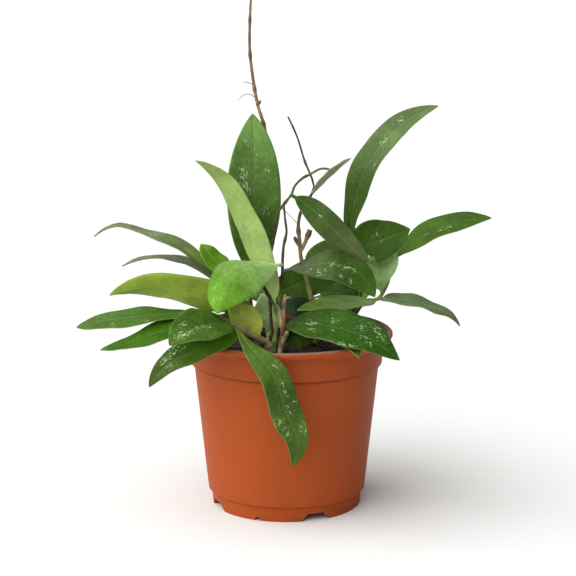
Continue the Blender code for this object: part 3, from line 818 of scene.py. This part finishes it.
def leaf_directions(midrib, fractions, faces):
    """For each row, the direction to the leaf's side and the one its upper side looks in."""
    tangent = np.gradient(midrib, fractions, axis=0)
    tangent /= np.linalg.norm(tangent, axis=1)[:, None]
    places = np.linspace(0, 1, len(faces))
    faces = np.array(faces, float)
    face = np.stack([np.interp(fractions, places, faces[:, axis]) for axis in range(3)], axis=1)
    face -= (face * tangent).sum(axis=1)[:, None] * tangent
    face /= np.linalg.norm(face, axis=1)[:, None]
    return np.cross(face, tangent), face


def half_widths(blade, width, fullest):
    """Half the leaf's width in each row, never less than its petiole's or its tip's."""
    petiole = PETIOLE_WIDTH / 2
    least = np.interp(blade, [0, 0.06, 0.9, 1], [petiole, petiole, TIP_WIDTH, TIP_WIDTH / 3])
    return np.maximum(width / 2 * leaf_outline(blade, fullest), least)


def fleck_strength(flecks, along, across, length, half):
    """How strong the flecks are at these shares of the leaf's length and of its half width there."""
    return sum(
        math.exp(-(((along - far) * length / FLECK_STRETCH) ** 2 + ((across - wide) * half) ** 2) / size**2)
        for far, wide, size in flecks
    )


def thicken(leaf):
    """Gives a leaf its body, as its thickness group says, with the underside's finish on the far side."""
    leaf.data.materials.append(leaf_under)
    leaf.vertex_groups.new(name="thickness")
    solid = leaf.modifiers.new("thickness", "SOLIDIFY")
    solid.thickness = PETIOLE_THICKNESS * MM
    solid.offset = 0
    solid.vertex_group = "thickness"
    solid.material_offset = 1


def add_leaf(name, vine, width, *knots, faces=(UP,), cup=8.0, wave=0.8, fullest=0.44, stray=0.4, slot="leaf",
             upper=LEAF_GREEN, under=OLIVE_UNDER, flecks=()):
    """A leaf that grows from its vine: a round petiole, and a blade shaped about its midrib.

    faces are directions that the upper side looks in, from foot to tip. cup is in degrees: below 0 it arches.
    A fleck is a share of the length, a share of the half width, and a reach in millimetres.
    """
    knots, length, fractions, blade = leaf_rows(vine, knots)
    midrib, _ = smooth_curve(knots, fractions)
    side, face = leaf_directions(midrib, fractions, faces)
    half = half_widths(blade, width, fullest)
    swell = np.sqrt(np.clip(np.sin(np.pi * blade), 0, 1))
    grown_blade = np.interp(blade, [0, 0.08, 1], [0, 1, 1])
    seed = sum(ord(letter) for letter in name) % 97
    shape = bmesh.new()
    bmesh.ops.create_grid(shape, x_segments=LEAF_COLUMNS, y_segments=len(blade) - 1, size=1)
    thick = shape.verts.layers.deform.verify()
    sheet = shape.loops.layers.uv.new("leaf")
    marks = {key: shape.verts.layers.float.new(key) for key in ("patch", "stray", "seed", "edge")}
    tones = {key: shape.verts.layers.float_color.new(key) for key in ("upper", "under")}
    flat = {}
    for point in shape.verts:
        row = round((point.co.y + 1) / 2 * (len(blade) - 1))
        across = math.copysign(abs(point.co.x) ** COLUMN_SPREAD, point.co.x)
        spread = half[row] * across
        along = length * fractions[row]
        turn = RIPPLES * math.tau * blade[row] + (RIPPLE_SHIFT if across > 0 else 0)
        ripple = wave * swell[row] * across**2 * math.sin(turn)
        lift = half[row] * abs(across) ** CUP_CURVE * math.sin(math.radians(cup)) + ripple
        lift -= RIB_DEPTH * math.exp(-((spread / RIB_REACH) ** 2)) * grown_blade[row]
        pucker = noise.noise((spread / PUCKER_ACROSS, along / PUCKER_ALONG, seed))
        lift += PUCKER * grown_blade[row] * pucker
        reach = spread * math.cos(math.radians(cup))
        flat[point] = (0.5 + spread / LEAF_SHEET, along / LEAF_SHEET)
        point.co = (midrib[row] + side[row] * reach + face[row] * lift) * MM
        body = LEAF_THICKNESS + (MARGIN_THICKNESS - LEAF_THICKNESS) * abs(across) ** 3
        depth = PETIOLE_THICKNESS + (body - PETIOLE_THICKNESS) * grown_blade[row]
        depth *= 1 - 0.5 * abs(across) ** 2 * (1 - grown_blade[row])
        point[thick][0] = depth / PETIOLE_THICKNESS
        point[marks["edge"]] = abs(across) * grown_blade[row]
        point[marks["stray"]] = stray
        point[marks["seed"]] = seed
        point[marks["patch"]] = fleck_strength(flecks, blade[row], across, length, half[row])
        point[tones["upper"]] = faded(upper, blade[row])
        point[tones["under"]] = faded(under, blade[row])
    for quad in shape.faces:
        for corner in quad.loops:
            corner[sheet].uv = flat[corner.vert]
    bmesh.ops.reverse_faces(shape, faces=shape.faces)
    thicken(add_piece(name.replace("leaf_", "blade_"), mesh_of(shape, name), leaf_upper, name))


leaf_upper = upper_side()
leaf_under = under_side()

add_leaf(
    "leaf_back_broad", "vine_whip", 42,
    (-16, 18, 164), (-23, 13, 187), (-25, 12, 236), (-25, 15, 274), (-26, 24, 301),
    faces=((0, -1, 0.1),), fullest=0.54, stray=0.6,
    upper=((0.034, 0.092, 0.003), (0.092, 0.178, 0.040)),
    flecks=(
        (0.68, 0.45, 4.0), (0.62, 0.35, 4.0), (0.57, 0.2, 3.0), (0.84, 0.4, 2.0), (0.78, -0.1, 3.0),
        (0.68, -0.55, 2.0), (0.45, -0.45, 2.5),
    ),
)
add_leaf(
    "leaf_pale_tall", "vine_runner", 24,
    (-9, -27, 162), (-9, -24, 168), (-12, -21, 178), (-19, -17, 194), (-30, -12, 220), (-48, -12, 254),
    (-68, -18, 270),
    faces=((0.6, 1, 0.2),), cup=10, fullest=0.42, slot="pale_leaf",
    under=((0.270, 0.370, 0.110), (0.220, 0.330, 0.085)),
)
# Painted light: the whitish green at the foot is a painted sheen, and the darker middle and paler tip even
# out how the light falls along the blade.
add_leaf(
    "leaf_young", "vine_front", 44,
    (-3, -21, 191), (-18, -36, 193), (-30, -47, 193), (-39, -55, 189), (-47, -61, 177), (-51, -66, 163),
    faces=((0, -0.6, 0.8), (-0.3, -0.8, 0.5)), cup=-22, wave=1.2, fullest=0.56, stray=0.2,
    slot="young_leaf",
    upper=((0.340, 0.520, 0.170), (0.200, 0.340, 0.090), (0.075, 0.185, 0.012), (0.140, 0.330, 0.020)),
    flecks=(
        (0.58, -0.5, 2.0), (0.76, -0.5, 2.0), (0.62, -0.3, 2.0), (0.9, -0.4, 1.5), (0.85, -0.55, 1.5),
    ),
)
add_leaf(
    "leaf_left_curled", "vine_middle", 20,
    (-28, -2, 177), (-40, 1, 178), (-53, 4, 187), (-66, 9, 202),
    faces=((0, -0.4, 0.9),), cup=10, wave=1.4, fullest=0.62, stray=0.0,
    upper=(0.110, 0.260, 0.014),
)
add_leaf(
    "leaf_left_top", "vine_middle", 22,
    (-26, -2, 169), (-57, 13, 180), (-86, 21, 199), (-109, 26, 207), (-136, 31, 212), (-151, 34, 204),
    faces=((0, -0.2, 1), UP), cup=10,
    upper=((0.060, 0.105, 0.012), (0.110, 0.175, 0.030), (0.170, 0.215, 0.105), (0.130, 0.170, 0.080)),
    under=((0.100, 0.150, 0.020), (0.150, 0.200, 0.060)),
)
add_leaf(
    "leaf_left_narrow", "vine_middle", 18,
    (-24, -5, 162), (-56, -8, 178), (-79, -8, 191), (-100, -6, 194), (-126, -2, 187),
    faces=((0, -0.15, 1), UP), cup=10, stray=0.0,
    upper=((0.030, 0.045, 0.015), (0.130, 0.155, 0.095)),
)
add_leaf(
    "leaf_left_olive", "vine_middle", 36,
    (-23, -10, 155), (-39, -20, 158), (-65, -32, 169), (-98, -42, 178), (-132, -40, 172),
    faces=((0, 0.74, 0.67),), cup=10, fullest=0.42, slot="pale_leaf",
    under=(0.250, 0.360, 0.043),
)
add_leaf(
    "leaf_left_long", "vine_left", 28,
    (-52, -60, 160), (-71, -53, 160), (-102, -48, 157), (-128, -42, 153), (-158, -35, 146),
    faces=((0, -0.33, 0.94),), cup=4, fullest=0.64,
    upper=((0.042, 0.108, 0.007), (0.060, 0.120, 0.020)),
    flecks=((0.43, -0.75, 2.0), (0.69, 0.55, 3.0), (0.46, 0.65, 3.0)),
)
add_leaf(
    "leaf_left_low", "vine_left", 28,
    (-49, -59, 157), (-67, -63, 153), (-93, -64, 148), (-117, -66, 140), (-137, -66, 136),
    faces=((0, -0.33, 0.94),), cup=6, fullest=0.36, stray=-0.5,
    upper=(0.033, 0.105, 0.001),
)
add_leaf(
    "leaf_left_near", "vine_left", 35,
    (-42, -57, 154), (-57, -78, 157), (-71, -90, 155), (-84, -100, 147),
    faces=((0, -0.6, 0.8),), cup=10, stray=0.6,
    upper=(0.041, 0.100, 0.007),
    flecks=(
        (0.7, -0.5, 3.0), (0.52, 0.05, 3.0), (0.41, 0.2, 2.5), (0.76, 0.15, 3.0), (0.68, 0.15, 2.5),
        (0.85, -0.05, 3.0),
    ),
)
add_leaf(
    "leaf_left_drooping", "vine_left", 25,
    (-32, -52, 147), (-52, -70, 143), (-69, -82, 138), (-83, -88, 132), (-100, -88, 113),
    faces=((0, -0.6, 0.8),), cup=10, stray=0.6,
    upper=((0.075, 0.230, 0.005), (0.038, 0.090, 0.005), (0.036, 0.070, 0.005)),
    flecks=(
        (0.75, -0.45, 3.0), (0.67, -0.45, 2.5), (0.74, 0.35, 3.0), (0.56, -0.45, 2.5), (0.6, -0.9, 2.5),
    ),
)
add_leaf(
    "leaf_front_hanging", "vine_left", 24,
    (-39, -56, 152), (-28, -79, 142), (-10, -90, 122), (0, -90, 93), (8, -86, 70), (4, -82, 51),
    faces=((0.3, -0.6, 0.75), (0.3, -0.9, 0.2), (0.2, -1, 0)), wave=2.0, fullest=0.58, stray=0.6,
    upper=((0.075, 0.150, 0.014), (0.043, 0.090, 0.010), (0.047, 0.098, 0.010)),
    flecks=(
        (0.38, 0.6, 2.0), (0.47, 0.4, 2.0), (0.53, 0.35, 2.5), (0.6, 0.7, 2.5), (0.64, 0.2, 3.0),
        (0.75, -0.5, 3.0), (0.67, -0.5, 2.5), (0.66, -0.95, 3.0), (0.77, 0.7, 3.0),
    ),
)
add_leaf(
    "leaf_front_right", "vine_front", 37,
    (-4, -26, 146), (8, -32, 148), (24, -42, 149), (45, -59, 148), (63, -68, 143), (74, -72, 136),
    (83, -74, 130),
    faces=((0, -0.55, 0.83),), fullest=0.46, stray=0.7,
    upper=((0.038, 0.082, 0.012), (0.019, 0.066, 0.001), (0.016, 0.068, 0.001)),
    flecks=(
        (0.2, 0.0, 2.5), (0.25, 0.05, 2.5), (0.28, -0.4, 3.0), (0.4, 0.35, 3.0), (0.46, -0.2, 2.0),
        (0.63, 0.45, 2.5), (0.74, 0.7, 3.0), (0.7, -0.05, 2.5), (0.66, -0.9, 3.0), (0.58, -0.95, 3.0),
        (0.76, -0.35, 2.5), (0.8, 0.5, 2.5),
    ),
)
# Painted light: the pale green at the foot stands in for light that the middle leaf keeps off it.
add_leaf(
    "leaf_right_inner", "vine_right", 26,
    (69, 37, 152), (60, 18, 155), (42, 3, 156), (24, -13, 157), (8, -24, 157),
    faces=((0.1, -0.2, 1),), cup=6, wave=0.4, fullest=0.48, stray=0.0,
    upper=((0.260, 0.400, 0.150), (0.110, 0.200, 0.018)), under=(0.190, 0.280, 0.035),
)
add_leaf(
    "leaf_right_low", "vine_right", 26,
    (72, 37, 153), (93, 30, 153), (117, 25, 147), (129, 22, 142), (136, 20, 135),
    faces=((0, -0.15, 1),), fullest=0.3,
    upper=((0.170, 0.250, 0.110), (0.085, 0.130, 0.050)),
)
# Painted reflection and painted light: the pale grey-green stands in for the sky's sheen on its upper side
# and for light that the leaves above keep off it.
add_leaf(
    "leaf_right_arched", "vine_right", 34,
    (76, 40, 157), (73, 31, 171), (73, 35, 183), (66, 52, 184), (59, 66, 178),
    faces=((0, -1, 0.2), UP), wave=0.4, fullest=0.58, stray=0.0,
    upper=((0.260, 0.420, 0.130), (0.340, 0.470, 0.220)),
)
add_leaf(
    "leaf_right_long", "vine_right", 29,
    (83, 57, 180), (93, 54, 189), (114, 52, 204), (137, 50, 212), (162, 50, 216),
    faces=((0.1, -0.4, 0.93),), wave=0.3, fullest=0.52,
    upper=((0.050, 0.118, 0.007), (0.033, 0.080, 0.004)),
    flecks=((0.51, -0.3, 3.0), (0.6, -0.25, 3.0), (0.38, -0.1, 2.0)),
)
add_leaf(
    "leaf_right_tall", "vine_tall", 28,
    (53, 24, 198), (50, 23, 213), (54, 23, 235), (61, 26, 257), (71, 29, 273), (88, 32, 291),
    (117, 34, 306),
    faces=((-0.7, -0.65, 0.3),), cup=10, fullest=0.48,
    upper=((0.022, 0.062, 0.001), (0.032, 0.066, 0.006), (0.082, 0.135, 0.038), (0.085, 0.140, 0.04)),
    flecks=((0.78, 0.25, 3.5), (0.62, 0.0, 3.5), (0.47, -0.6, 2.5)),
)
add_leaf(
    "leaf_right_dark", "vine_tall", 36,
    (57, 26, 186), (58, 30, 193), (66, 33, 198), (81, 36, 203), (97, 38, 209),
    faces=((-0.2, -0.85, 0.4),), cup=6, fullest=0.36,
    upper=(0.038, 0.095, 0.005),
    flecks=((0.44, 0.25, 2.5), (0.47, -0.1, 2.0)),
)
add_leaf(
    "leaf_middle_rear", "vine_fork", 22,
    (11, -4, 190), (27, 4, 194), (45, 10, 195), (63, 12, 192),
    faces=((0, -0.8, 0.5),), stray=0.0,
    upper=(0.078, 0.135, 0.028),
)
add_leaf(
    "leaf_middle", "vine_front", 29,
    (-3, -21, 186), (16, -25, 191), (35, -28, 193), (52, -26, 187), (67, -20, 166),
    faces=((0.1, -0.7, 0.68),), cup=-8, fullest=0.55,
    upper=((0.056, 0.078, 0.032), (0.035, 0.075, 0.012), (0.048, 0.135, 0.004)),
    flecks=(
        (0.44, 0.0, 3.0), (0.56, -0.05, 3.0), (0.64, 0.0, 2.5), (0.52, -0.65, 2.5), (0.65, -0.7, 3.5),
        (0.33, -0.6, 3.0), (0.23, -0.4, 2.5),
    ),
)
add_leaf(
    "leaf_upper_middle", "vine_arch", 20,
    (3, -5, 242), (17, -10, 234), (30, -14, 222), (45, -12, 207), (64, -8, 190),
    faces=((-0.4, -0.75, 0.5),), cup=6, fullest=0.42, stray=0.0,
    upper=((0.018, 0.064, 0.001), (0.110, 0.148, 0.050)),
    flecks=((0.3, 0.1, 2.5),),
)
add_leaf(
    "leaf_upper_slim", "vine_fork", 12,
    (20, 4, 241), (27, 5, 250), (38, 8, 260), (49, 12, 268),
    faces=((-0.5, 0.5, 0.7),), cup=10, wave=0.3, fullest=0.36, stray=0.0,
    upper=(0.200, 0.230, 0.130), under=(0.210, 0.240, 0.140),
)
add_leaf(
    "leaf_inner_left", "vine_tall", 29,
    (56, 27, 168), (38, 22, 178), (15, 13, 173), (0, 8, 167), (-17, 4, 164),
    faces=((0, -0.9, 0.4),), fullest=0.58, stray=0.0,
    upper=(0.042, 0.100, 0.006),
)
add_leaf(
    "leaf_inner_right", "vine_right", 24,
    (60, 36, 149), (47, 40, 155), (36, 44, 157), (26, 46, 156),
    faces=((0, -0.7, 0.7),), stray=0.0,
    upper=DEEP_GREEN_PAINTED_SHADE,
)
# The low leaf behind the stems takes its dark teal from painted shade.
add_leaf(
    "leaf_inner_low", "vine_tall", 20,
    (45, 30, 133), (29, 17, 142), (17, 6, 149), (9, -4, 154), (3, -15, 158), (-4, -22, 161),
    (-8, -24, 163),
    faces=((0, -0.95, 0.3),), fullest=0.5, stray=-0.5,
    upper=TEAL_PAINTED_SHADE,
)
# Painted light: the colour is far paler than a leaf's own, to stand in for light on this low leaf in the
# shade of the leaves above.
add_leaf(
    "leaf_heart_bright", "vine_whip", 26,
    (-14, 15, 128), (-12, 11, 138), (-14, 11, 150), (-20, 11, 162),
    faces=((0, -1, 0.15),), cup=12, fullest=0.55, stray=-0.5, slot="young_leaf",
    upper=((0.560, 0.780, 0.360), (0.620, 0.850, 0.400)),
)
add_leaf(
    "leaf_heart_olive", "vine_left", 22,
    (-19, -42, 138), (-25, -45, 149), (-34, -46, 158), (-43, -44, 165),
    faces=((0.2, -1, 0.3),), cup=12, fullest=0.5, stray=-0.5, slot="pale_leaf",
    upper=((0.340, 0.390, 0.060), (0.270, 0.360, 0.050)),
)
add_leaf(
    "leaf_under_right", "vine_fork", 20,
    (22, 4, 134), (38, -35, 137), (48, -65, 138), (53, -84, 134),
    faces=((0, -0.3, 0.95),), stray=0.0,
    upper=DARK_GREEN,
)
add_leaf(
    "leaf_base_small", "vine_front", 20,
    (-3, -27, 132), (5, -25, 136), (13, -26, 137), (22, -27, 135),
    faces=((0, -1, 0.25),), stray=-0.5,
    upper=DEEP_GREEN_PAINTED_SHADE,
)
add_leaf(
    "leaf_rear_left", "vine_whip", 30,
    (-15, 19, 152), (-25, 60, 154), (-37, 95, 147), (-46, 122, 125),
    faces=((-0.2, 0, 1),),
    flecks=((0.4, 0.3, 4.0), (0.6, -0.4, 3.5), (0.7, 0.2, 3.0)),
)
add_leaf(
    "leaf_rear_right", "vine_tall", 30,
    (58, 30, 161), (60, 68, 163), (61, 102, 150), (60, 126, 128),
    faces=((0.1, 0, 1),),
    flecks=((0.35, -0.3, 3.5), (0.55, 0.4, 4.0), (0.8, 0.0, 3.0)),
)
add_leaf(
    "leaf_rear_middle", "vine_right", 28,
    (53, 36, 139), (39, 62, 147), (18, 90, 142), (3, 112, 120),
    upper=FRESH_GREEN,
    flecks=((0.5, 0.3, 4.0), (0.65, -0.4, 3.0)),
)
add_leaf(
    "leaf_rear_low", "vine_whip", 24,
    (-14, 16, 133), (-26, 24, 136), (-40, 30, 138), (-53, 32, 138),
    faces=((0, -0.9, 0.4),), stray=0.0,
    upper=DEEP_GREEN_PAINTED_SHADE,
)
add_leaf(
    "leaf_rear_upright", "vine_whip", 26,
    (-14, 23, 209), (-19, 40, 232), (-25, 50, 262), (-28, 52, 279),
    faces=((0.2, -0.7, 0.7),),
    flecks=((0.5, 0.2, 3.5),),
)
add_leaf(
    "leaf_rear_high", "vine_tall", 26,
    (58, 28, 176), (64, 60, 174), (76, 92, 167), (81, 118, 150),
    faces=((0.1, 0, 1),),
    upper=DARK_GREEN,
    flecks=((0.4, 0.4, 3.5), (0.6, -0.2, 4.0)),
)


# The aerial roots
# Fine dry roots, thin as wire, that the vines put out into the air. They are woody and brown, and each grows
# out of its vine at its foot and narrows to a point.

AERIAL_TIP_RADIUS = 0.12

whole = bmesh.new()
for knots, radius in (
    ([(-23, 26, 312), (-30, 24, 316), (-37, 22, 311)], 0.30),
    ([(-25, 26, 322), (-31, 24, 325), (-34, 23, 325)], 0.28),
    ([(-4, -4, 232), (1, -6, 228), (10, -8, 218)], 0.28),
):
    add_stem(whole, knots, radius, AERIAL_TIP_RADIUS, BROWN_BARK)
add_piece("aerial_roots", mesh_of(whole, "aerial_roots"), bark_finish)


# The studio
# A pale floor that runs past the edge of the picture, a wide soft light from the left front with a weaker one
# overhead, and pale light all round. The camera stands where the photograph's stood.

FLOOR_SIZE = 60.0
PALE = (0.76, 0.76, 0.75)
LAMPS = (
    ("soft_key", 4.9, 105, (-1.25, -0.62, 1.05)),
    ("overhead", 1.1, 120, (-0.2, -0.35, 1.0)),
)
LIGHT_ALL_ROUND = 0.16
CAMERA_PLACE = (0.00115, -1.350, 0.434)
CAMERA_DIP = 11.1
CAMERA_LENS = 111.8

shape = bmesh.new()
bmesh.ops.create_grid(shape, x_segments=1, y_segments=1, size=FLOOR_SIZE / 2)
floor_finish = Finish("pale floor")
floor = bpy.data.objects.new("floor", mesh_of(shape, "floor"))
floor.data.materials.append(floor_finish.set(Base_Color=PALE, Roughness=0.9))
bpy.context.scene.collection.objects.link(floor)

for name, energy, spread, direction in LAMPS:
    lamp = bpy.data.objects.new(name, bpy.data.lights.new(name, "SUN"))
    lamp.data.energy = energy
    lamp.data.angle = math.radians(spread)
    lamp.rotation_euler = Vector(direction).to_track_quat("Z", "Y").to_euler()
    bpy.context.scene.collection.objects.link(lamp)

world = bpy.data.worlds.new("studio")
world.use_nodes = True
world.node_tree.nodes["Background"].inputs[0].default_value = (1, 1, 1, 1)
world.node_tree.nodes["Background"].inputs[1].default_value = LIGHT_ALL_ROUND
bpy.context.scene.world = world
bpy.context.scene.view_settings.view_transform = "Standard"

camera = bpy.data.objects.new("camera", bpy.data.cameras.new("camera"))
camera.location = CAMERA_PLACE
camera.rotation_euler = (math.radians(90 - CAMERA_DIP), 0, 0)
camera.data.lens = CAMERA_LENS
camera.data.sensor_width = 36
camera.data.clip_end = 100
bpy.context.scene.collection.objects.link(camera)
bpy.context.scene.camera = camera
